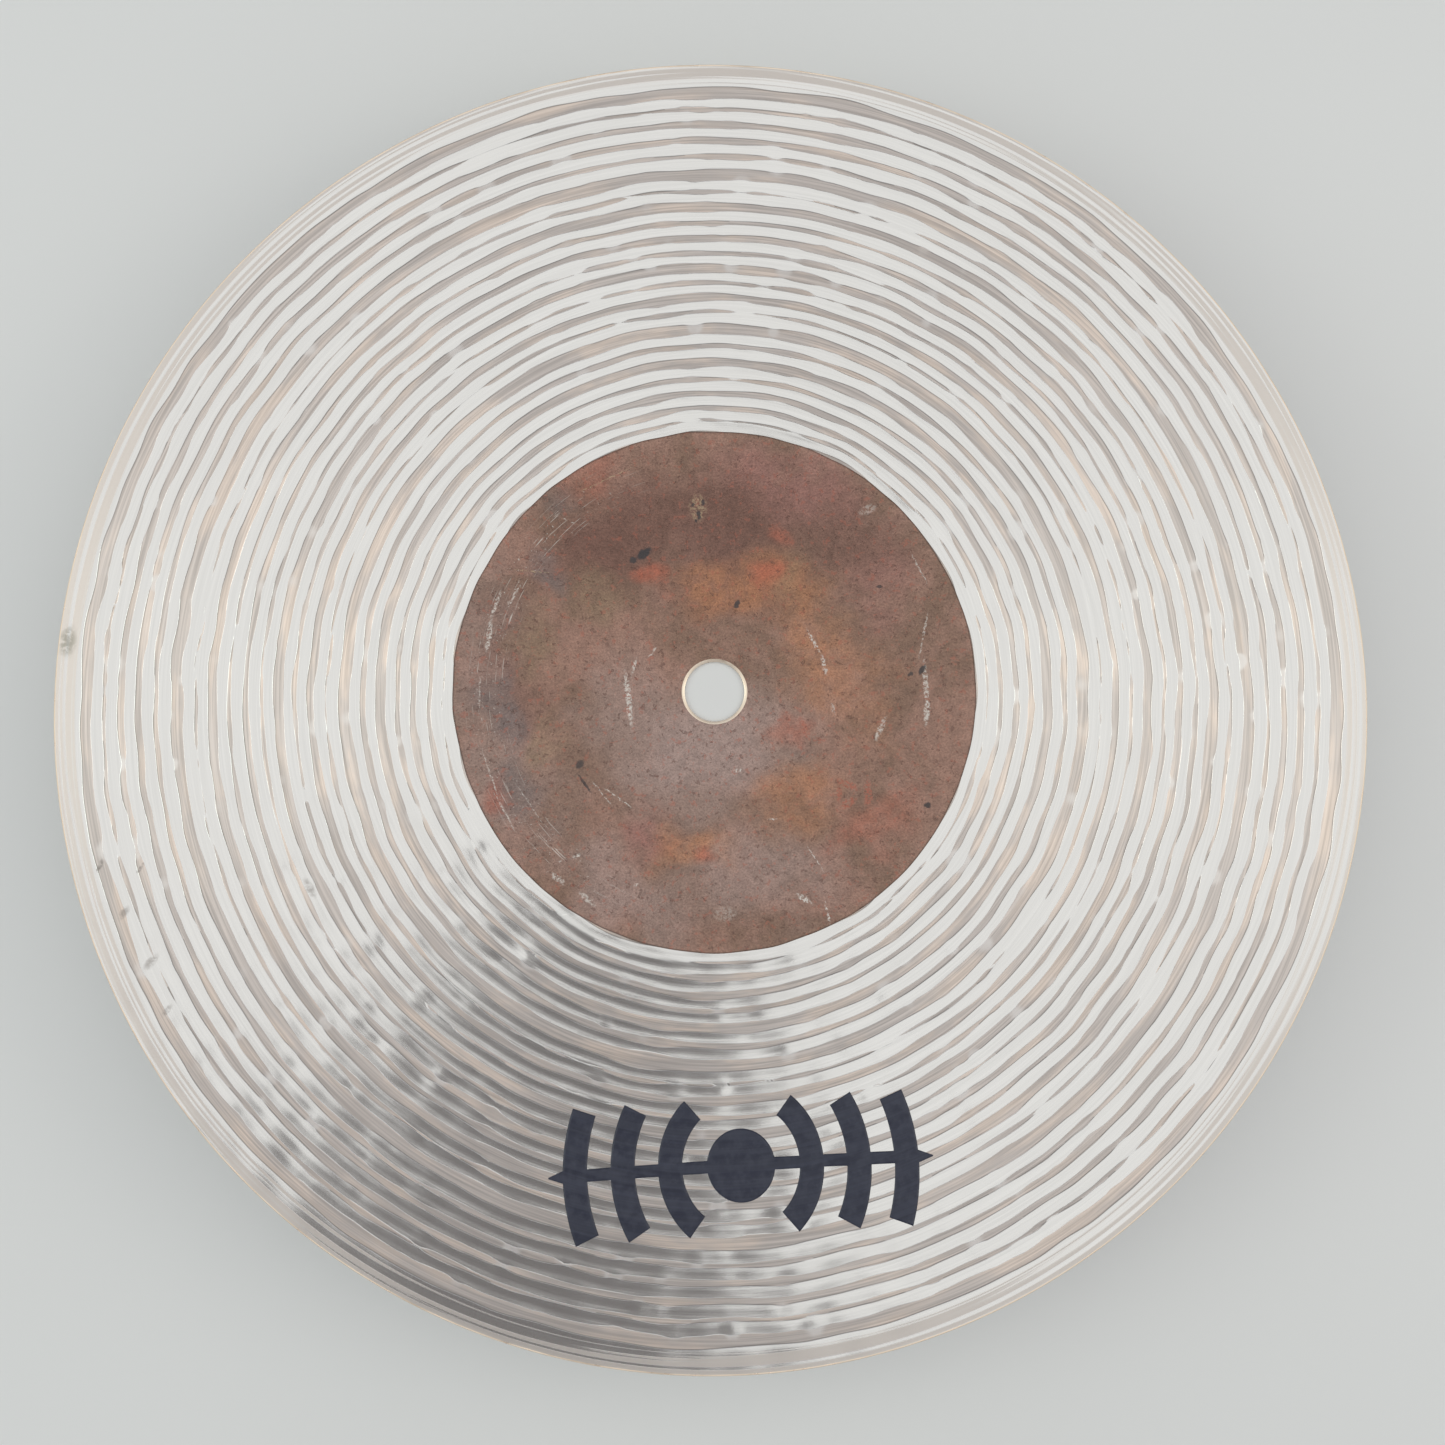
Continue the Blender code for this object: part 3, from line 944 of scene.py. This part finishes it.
def bell_material():
    """The raw bell, never turned: oxide with painted sheen and reflection, scuffs and pits, and painted
    shade along its edge.
    """
    g = Graph("bronze_raw_bell")
    polar = Round(g)
    colour, rough, height = bell_looks(g, polar)
    # Painted shade: a thin dark line along the raw bell's edge, where it steps down to the first cut.
    outline = g.step(g.field("raw"), 0.0, OUTLINE_WIDTH, OUTLINE_SHADE, 1.0)
    g.set(Base_Color=g.scaled(colour, outline))
    g.set(Metallic=BELL_METALLIC)
    g.set(Roughness=rough)
    g.set(Normal=g.bump(height, BELL_BUMP))
    return g.material


# ---- Colours of the raw bell -----------------------------------------------------
BROWN = (0.415, 0.245, 0.19, 1.0)
DARK = (0.235, 0.130, 0.105, 1.0)
UMBER = (0.30, 0.185, 0.135, 1.0)
RED = (0.50, 0.165, 0.11, 1.0)
TONES = {
    "mauve": (0.46, 0.335, 0.30, 1.0),
    "dark": (0.225, 0.118, 0.092, 1.0),
    "umber": UMBER,
    "pink": (0.46, 0.225, 0.195, 1.0),
    "rust": (0.60, 0.27, 0.135, 1.0),
    "olive": (0.36, 0.255, 0.165, 1.0),
    "slate": (0.22, 0.185, 0.18, 1.0),
    "red": (0.56, 0.17, 0.105, 1.0),
}
# The mauve and dark tones, partly painted sheen and painted reflection, are laid on smooth.
SHEEN_AND_REFLECTION_TONES = ("mauve", "dark")
SCUFF = (0.80, 0.74, 0.68, 1.0)
PITCH = (0.075, 0.066, 0.068, 1.0)
TAN = (0.58, 0.43, 0.28, 1.0)
TORN_MARKS = (SCUFF, RED, TAN)
SCUFF_RADIUS = 0.0465
SCUFF_BAND = (0.0050, 0.0015)

# Scratches and scuffs of the raw bell, and its dark, red and tan spots, listed in the same way.
MARKS = (
    (TAN, -22.6, 43.2, 6.8, 0.14, 27, 0.9),
    (TAN, -38, 24.2, 3.9, 0.12, -1, 0.8),
    (TAN, -3.6, 38.3, 2.0, 2.9, 0, 0.6),
    (PITCH, -3.4, 36.9, 0.45, 1.0, 10, 0.9),
    (PITCH, -2.5, 39.4, 0.35, 0.7, 0, 0.8),
    (PITCH, -4.6, 38.8, 0.35, 0.5, 0, 0.8),
    (PITCH, -3.9, 35.9, 0.3, 0.3, 0, 0.8),
    (RED, 27.6, -19.8, 2.8, 0.8, -25, 0.8),
    (RED, 31.6, -21.6, 0.9, 3.0, 0, 0.8),
    (RED, 27.6, -23.6, 2.2, 0.9, 30, 0.8),
    (RED, 25.8, -21.6, 0.7, 2.0, 0, 0.7),
    (RED, 19.0, -8.0, 0.8, 3.0, 20, 0.6),
    (RED, 22.0, -10.5, 1.6, 0.6, 0, 0.6),
    (SCUFF, -18.3, -1.6, 6.4, 0.65, 97, 1.0),
    (SCUFF, -17.2, 5.0, 2.4, 0.30, 75, 0.8),
    (SCUFF, -13.2, 8.4, 1.4, 0.25, 50, 0.7),
    (SCUFF, 21.0, 10.6, 3.2, 0.35, 118, 0.9),
    (SCUFF, 23.2, 5.6, 2.4, 0.50, 102, 0.8),
    (SCUFF, 4.9, -16.8, 1.1, 0.40, 18, 1.0),
    (SCUFF, 17.9, -42.7, 1.9, 0.60, -32, 1.0),
    (SCUFF, 22.4, -45.3, 2.4, 0.25, -80, 1.0),
    (SCUFF, 43.6, 0.4, 6.0, 0.50, 93, 0.8),
    (SCUFF, 43.6, -5.0, 3.0, 0.60, 85, 0.8),
    (SCUFF, 43.2, 11.0, 5.0, 0.22, 80, 0.7),
    (SCUFF, 42.2, 24.6, 3.6, 0.18, -62, 0.8),
    (SCUFF, 31.7, 36.9, 2.0, 1.00, 20, 0.4),
    (SCUFF, -20.0, -22.6, 3.8, 0.18, -35, 0.9),
    (SCUFF, -23.5, -21.5, 3.6, 0.14, -50, 0.7),
    (SCUFF, 34.5, -8.3, 3.0, 0.60, 65, 0.7),
    (SCUFF, 25.0, -4.0, 1.5, 0.40, 100, 0.5),
    (SCUFF, 2.0, -45.7, 2.4, 1.60, 0, 0.3),
    (SCUFF, 11.6, -27.0, 1.3, 0.20, 8, 0.9),
    (SCUFF, 20.5, -34.8, 3.2, 0.15, -58, 0.8),
    (SCUFF, -31.5, -38.5, 1.8, 0.60, -40, 0.8),
    (SCUFF, -25.5, -42.6, 2.2, 0.60, -38, 0.8),
    (SCUFF, -27.8, -34.0, 1.0, 0.50, 20, 0.9),
    (SCUFF, -16.0, -40.0, 0.7, 0.35, 30, 1.0),
    (SCUFF, -46.4, 10.5, 3.6, 0.55, 82, 0.9),
    (SCUFF, -45.0, 17.0, 3.4, 0.35, 70, 0.8),
    (SCUFF, -41.5, 19.0, 3.2, 0.30, 60, 0.7),
    (SCUFF, -48.0, -1.5, 4.0, 0.20, 90, 0.6),
    (SCUFF, -45.5, -17.5, 5.5, 0.16, -70, 0.7),
    (SCUFF, -42.5, -25.0, 5.0, 0.16, -60, 0.7),
    (SCUFF, -37.5, -24.0, 6.0, 0.12, -55, 0.6),
    (PITCH, -15.0, 28.9, 2.0, 0.95, 35, 1.0),
    (PITCH, -17.3, 27.5, 0.9, 0.60, 20, 0.9),
    (PITCH, 4.8, 18.6, 1.1, 0.60, 68, 0.9),
    (PITCH, -28.1, -15.6, 1.1, 0.70, 45, 0.8),
    (PITCH, -27.0, -19.5, 2.6, 0.28, -55, 0.8),
    (PITCH, 42.9, -24.0, 0.8, 0.60, 0, 0.9),
    (PITCH, 42.9, 3.8, 1.4, 0.45, 60, 0.9),
    (PITCH, 40.6, 3.0, 0.6, 0.40, 30, 0.8),
    (PITCH, 34.5, 21.5, 0.6, 0.35, 0, 0.8),
)


def spot(g, place, x, y, half_length, half_width, degrees):
    """Distance from the middle of an oval, as a share of the way to its outline."""
    made = g.node("ShaderNodeMapping", place, vector_type="TEXTURE")
    made.inputs["Location"].default_value = (x * MM, y * MM, 0.0)
    made.inputs["Rotation"].default_value = (0.0, 0.0, math.radians(degrees))
    made.inputs["Scale"].default_value = (half_length * MM, half_width * MM, 1.0)
    return g.length(made.outputs[0])


def wandered(g, place, scale, reach):
    """A place shifted at random, so that outlines drawn on it wander."""
    made = g.node("ShaderNodeTexNoise")
    g.feed(made.inputs["Vector"], place)
    made.inputs["Scale"].default_value = scale
    made.inputs["Detail"].default_value = 4.0
    made.inputs["Roughness"].default_value = 0.6
    shift = g.vector("SUBTRACT", made.outputs["Color"], (0.5, 0.5, 0.5))
    flat = g.vector("MULTIPLY", shift, (reach, reach, 0.0))
    return g.vector("ADD", place, flat)


def bell_looks(g, polar):
    """The raw bell's colour, roughness and height: oxide in many tones, partly painted sheen below and
    painted reflection above, scuffed and pitted.
    """
    place = polar.flat
    small = g.noise(place, 420.0, 6.0, 0.74)
    grain = g.noise(place, 2300.0, 3.0, 0.7)
    colour = g.mix(g.step(g.noise(place, 60.0, 6.0, 0.66, 0.4), 0.40, 0.60), UMBER, BROWN)
    frayed = g.step(g.noise(place, 190.0, 7.0, 0.72, 0.3), 0.38, 0.58, 0.5, 1.0)
    # Oxide tones; mauve is partly painted sheen and dark partly painted reflection, both left smooth.
    for name, tone in TONES.items():
        share = g.field(name)
        if name not in SHEEN_AND_REFLECTION_TONES:
            share = g.math("MULTIPLY", share, frayed)
        colour = g.mix(share, colour, tone)
    colour = g.scaled(colour, g.step(small, 0.36, 0.64, 0.85, 1.12))
    colour = g.scaled(colour, g.step(grain, 0.36, 0.64, 0.84, 1.12))
    flecks = g.step(g.noise(place, 620.0, 3.0, 0.7), 0.58, 0.64, 0.0, 0.4)
    colour = g.mix(flecks, colour, RED)
    pitted = g.step(g.noise(place, 760.0, 3.0, 0.65), 0.61, 0.66, 0.0, 0.5)
    colour = g.mix(pitted, colour, DARK)
    colour = g.mix(edge_scuffs(g, polar), colour, SCUFF)
    close = wandered(g, place, 1100.0, 0.0011)
    torn = g.step(g.noise(place, 1500.0, 4.0, 0.75), 0.44, 0.56)
    for tone, *oval, strength in MARKS:
        share = g.step(spot(g, close, *oval), SPOT_END, CRISP_SPOT, 0.0, strength)
        if tone in TORN_MARKS:
            share = g.math("MULTIPLY", share, torn)
        colour = g.mix(share, colour, tone)
    rough = g.step(small, 0.3, 0.7, 0.50, 0.66)
    height = g.math("SUBTRACT", g.math("MULTIPLY_ADD", small, 0.8, grain), pitted)
    return colour, rough, height


def edge_scuffs(g, polar):
    """Fine turning scratches and specks worn light near the bell's edge, mostly on the left."""
    ring = g.math("ABSOLUTE", g.math("SUBTRACT", polar.radius, SCUFF_RADIUS))
    band = g.step(ring, *SCUFF_BAND)
    left = g.node("ShaderNodeSeparateXYZ", polar.outward).outputs[0]
    side = g.step(left, -0.2, -0.8, 0.05, 1.0)
    specks = g.step(g.noise(polar.flat, 1300.0, 3.0, 0.75), 0.62, 0.70)
    lines = g.step(polar.streaks(*SCRATCH_LINES), 0.62, 0.70)
    worn = g.math("MAXIMUM", specks, lines)
    return g.math("MULTIPLY", g.math("MULTIPLY", band, side), g.math("MULTIPLY", worn, 0.7))


def struck_material():
    """The playing side: the same bronze, turned all over."""
    g = Graph("bronze_playing_side")
    polar = Round(g)
    tooled = g.step(g.field("cut"), *TOOLED)
    fine = polar.streaks(*FINE_LINES, 3.0)
    skin = g.scaled(SKIN_GREY[:3], g.step(fine, 0.25, 0.75, 0.86, 1.08))
    bright = g.scaled(BRIGHT[:3], g.step(fine, 0.2, 0.8, 0.95, 1.02))
    g.set(Base_Color=g.mix(tooled, skin, bright))
    g.set(Metallic=1.0)
    g.set(Roughness=g.between(tooled, STRUCK_SKIN_ROUGHNESS, STRUCK_CUT_ROUGHNESS))
    g.set(Normal=g.bump(fine, STRUCK_BUMP))
    return g.material


def ink_material():
    """Navy printing ink, a little thin and streaked over the grooves."""
    g = Graph("navy_printing_ink")
    polar = Round(g)
    fine = polar.streaks(*FINE_LINES)
    worn = g.noise(polar.place, 500.0, 4.0, 0.6)
    raised = g.step(g.field("cut"), *INK_WEAR)
    colour = g.mix(g.step(worn, 0.35, 0.70), INK, INK_WORN)
    colour = g.mix(g.math("MULTIPLY", raised, 0.5), colour, INK_WORN)
    g.set(Base_Color=g.scaled(colour, g.step(fine, 0.25, 0.75, 0.85, 1.15)))
    g.set(Roughness=g.between(raised, 0.38, 0.5))
    g.set(Normal=g.bump(fine, INK_BUMP))
    return g.material


def edge_material():
    """Bare bronze where the disc was cut: the rim, the bore and its chamfers."""
    g = Graph("bronze_cut_edge")
    polar = Round(g)
    wear = g.noise(polar.place, 380.0, 3.0)
    g.set(Base_Color=g.mix(wear, SAWN_DARK, SAWN_LIGHT))
    g.set(Metallic=1.0)
    g.set(Roughness=g.step(wear, 0.3, 0.7, 0.25, 0.4))
    return g.material


# ---- Stage, light and camera -----------------------------------------------------
FLOOR_REACH = 3.0
FLOOR_TONES = ((0.76, 0.76, 0.75, 1.0), (0.80, 0.80, 0.79, 1.0))
WORLD_COLOUR = (0.93, 0.96, 1.0, 1.0)
WORLD_STRENGTH = 0.55
TOP_PLACE = (0.0, 0.10, 0.80)
TOP_AIM = (0.0, 0.10, 0.0)
TOP_SIZE = (2.4, 0.9)
TOP_RADIANCE = 0.435
TOP_COLOUR = (1.0, 0.98, 0.91)
SIDE_PLACE = (1.05, 0.0, 0.60)
SIDE_SIZE = (0.6, 0.5)
SIDE_RADIANCE = 1.9
SIDE_COLOURS = ((-1, (0.86, 0.98, 0.885)), (1, (0.965, 0.945, 0.835)))
FLAG_PLACE = Vector((-0.045, -0.12, 0.34))
FLAG_BEARING = math.radians(253)
FLAG_REACH = 0.115
FLAG_WIDTH = 0.055
FLAG_POINTS = 48
FLAG_GLOW = 0.172
FLAG_COLOUR = (1.0, 0.935, 0.93, 1.0)
CAMERA_PLACE = Vector((-0.0030, -0.0221, 0.2775))
CAMERA_TURN = (math.radians(6.881), math.radians(-0.948), math.radians(-0.057))
SENSOR_WIDTH = 36.0
FOCAL_LENGTH = 32.39
LENS_SHIFT = (0.0003, -0.0578)
CLIP = (0.01, 20.0)


def add_floor():
    """A plain pale floor under the bell."""
    g = Graph("pale_floor")
    where = g.node("ShaderNodeTexCoord").outputs["Object"]
    g.set(Base_Color=g.mix(g.noise(where, 6.0, 2.0), *FLOOR_TONES))
    g.set(Roughness=0.8)
    mesh = bpy.data.meshes.new("floor")
    signs = ((-1, -1), (1, -1), (1, 1), (-1, 1))
    corners = [(x * FLOOR_REACH, y * FLOOR_REACH, 0.0) for x, y in signs]
    mesh.from_pydata(corners, [], [(0, 1, 2, 3)])
    mesh.materials.append(g.material)
    floor = bpy.data.objects.new("floor", mesh)
    bpy.context.scene.collection.objects.link(floor)


def add_world():
    """Soft light from all round."""
    world = bpy.data.worlds.new("studio")
    bpy.context.scene.world = world
    world.use_nodes = True
    backdrop = world.node_tree.nodes["Background"]
    backdrop.inputs["Color"].default_value = WORLD_COLOUR
    backdrop.inputs["Strength"].default_value = WORLD_STRENGTH


def add_panel(name, centre, aim, size, radiance, colour):
    """A soft rectangular light."""
    width, depth = size
    lamp = bpy.data.lights.new(name, "AREA")
    lamp.shape = "RECTANGLE"
    lamp.size = width
    lamp.size_y = depth
    lamp.energy = radiance * math.pi * width * depth
    lamp.color = colour
    made = bpy.data.objects.new(name, lamp)
    made.location = centre
    made.rotation_mode = "QUATERNION"
    made.rotation_quaternion = (Vector(aim) - Vector(centre)).to_track_quat("-Z", "Y")
    bpy.context.scene.collection.objects.link(made)


def add_flag():
    """A dark oval board above, which only reflections see. It stands for whoever looks down."""
    corners = []
    for step in range(FLAG_POINTS):
        turn = TURN * step / FLAG_POINTS
        corners.append((FLAG_REACH * math.cos(turn), FLAG_WIDTH * math.sin(turn), 0.0))
    mesh = bpy.data.meshes.new("flag")
    mesh.from_pydata(corners, [], [tuple(range(FLAG_POINTS))])
    g = Graph("flag_cloth")
    g.set(Base_Color=(0.0, 0.0, 0.0, 1.0), Roughness=1.0)
    g.set(Emission_Color=FLAG_COLOUR, Emission_Strength=FLAG_GLOW)
    mesh.materials.append(g.material)
    flag = bpy.data.objects.new("flag", mesh)
    flag.matrix_world = Matrix.Translation(FLAG_PLACE) @ Matrix.Rotation(FLAG_BEARING, 4, "Z")
    flag.visible_camera = False
    flag.visible_diffuse = False
    flag.visible_shadow = False
    bpy.context.scene.collection.objects.link(flag)


def add_lights():
    """A wide panel overhead and a smaller one on each side, aimed at the cymbal."""
    add_panel("overhead", TOP_PLACE, TOP_AIM, TOP_SIZE, TOP_RADIANCE, TOP_COLOUR)
    across, along, up = SIDE_PLACE
    for side, colour in SIDE_COLOURS:
        add_panel("side", (side * across, along, up), (0.0, 0.0, 0.0), SIDE_SIZE, SIDE_RADIANCE, colour)


def add_camera():
    """The camera, almost straight above the cymbal."""
    data = bpy.data.cameras.new("camera")
    data.sensor_width = SENSOR_WIDTH
    data.lens = FOCAL_LENGTH
    data.shift_x, data.shift_y = LENS_SHIFT
    data.clip_start, data.clip_end = CLIP
    camera = bpy.data.objects.new("camera", data)
    camera.location = CAMERA_PLACE
    camera.rotation_euler = CAMERA_TURN
    bpy.context.scene.collection.objects.link(camera)
    bpy.context.scene.camera = camera


def main():
    """Builds the scene."""
    bpy.context.scene.view_settings.view_transform = "Standard"
    add_camera()
    add_world()
    add_lights()
    add_flag()
    add_floor()
    radii = grid_radii(BELL_RADIUS, GRID_END, BOW_RING_STEP)
    field = bow_field(radii, BOW_TURN_STEPS, BOW_SEED)
    materials = [bell_material(), bow_material(), struck_material(), edge_material()]
    cymbal = make_cymbal(materials, radii, field)
    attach(cymbal, "root")
    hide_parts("cymbal")
    printed = make_print(ink_material(), radii, field)
    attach(printed, "root")
    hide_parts("printed_emblem")


main()
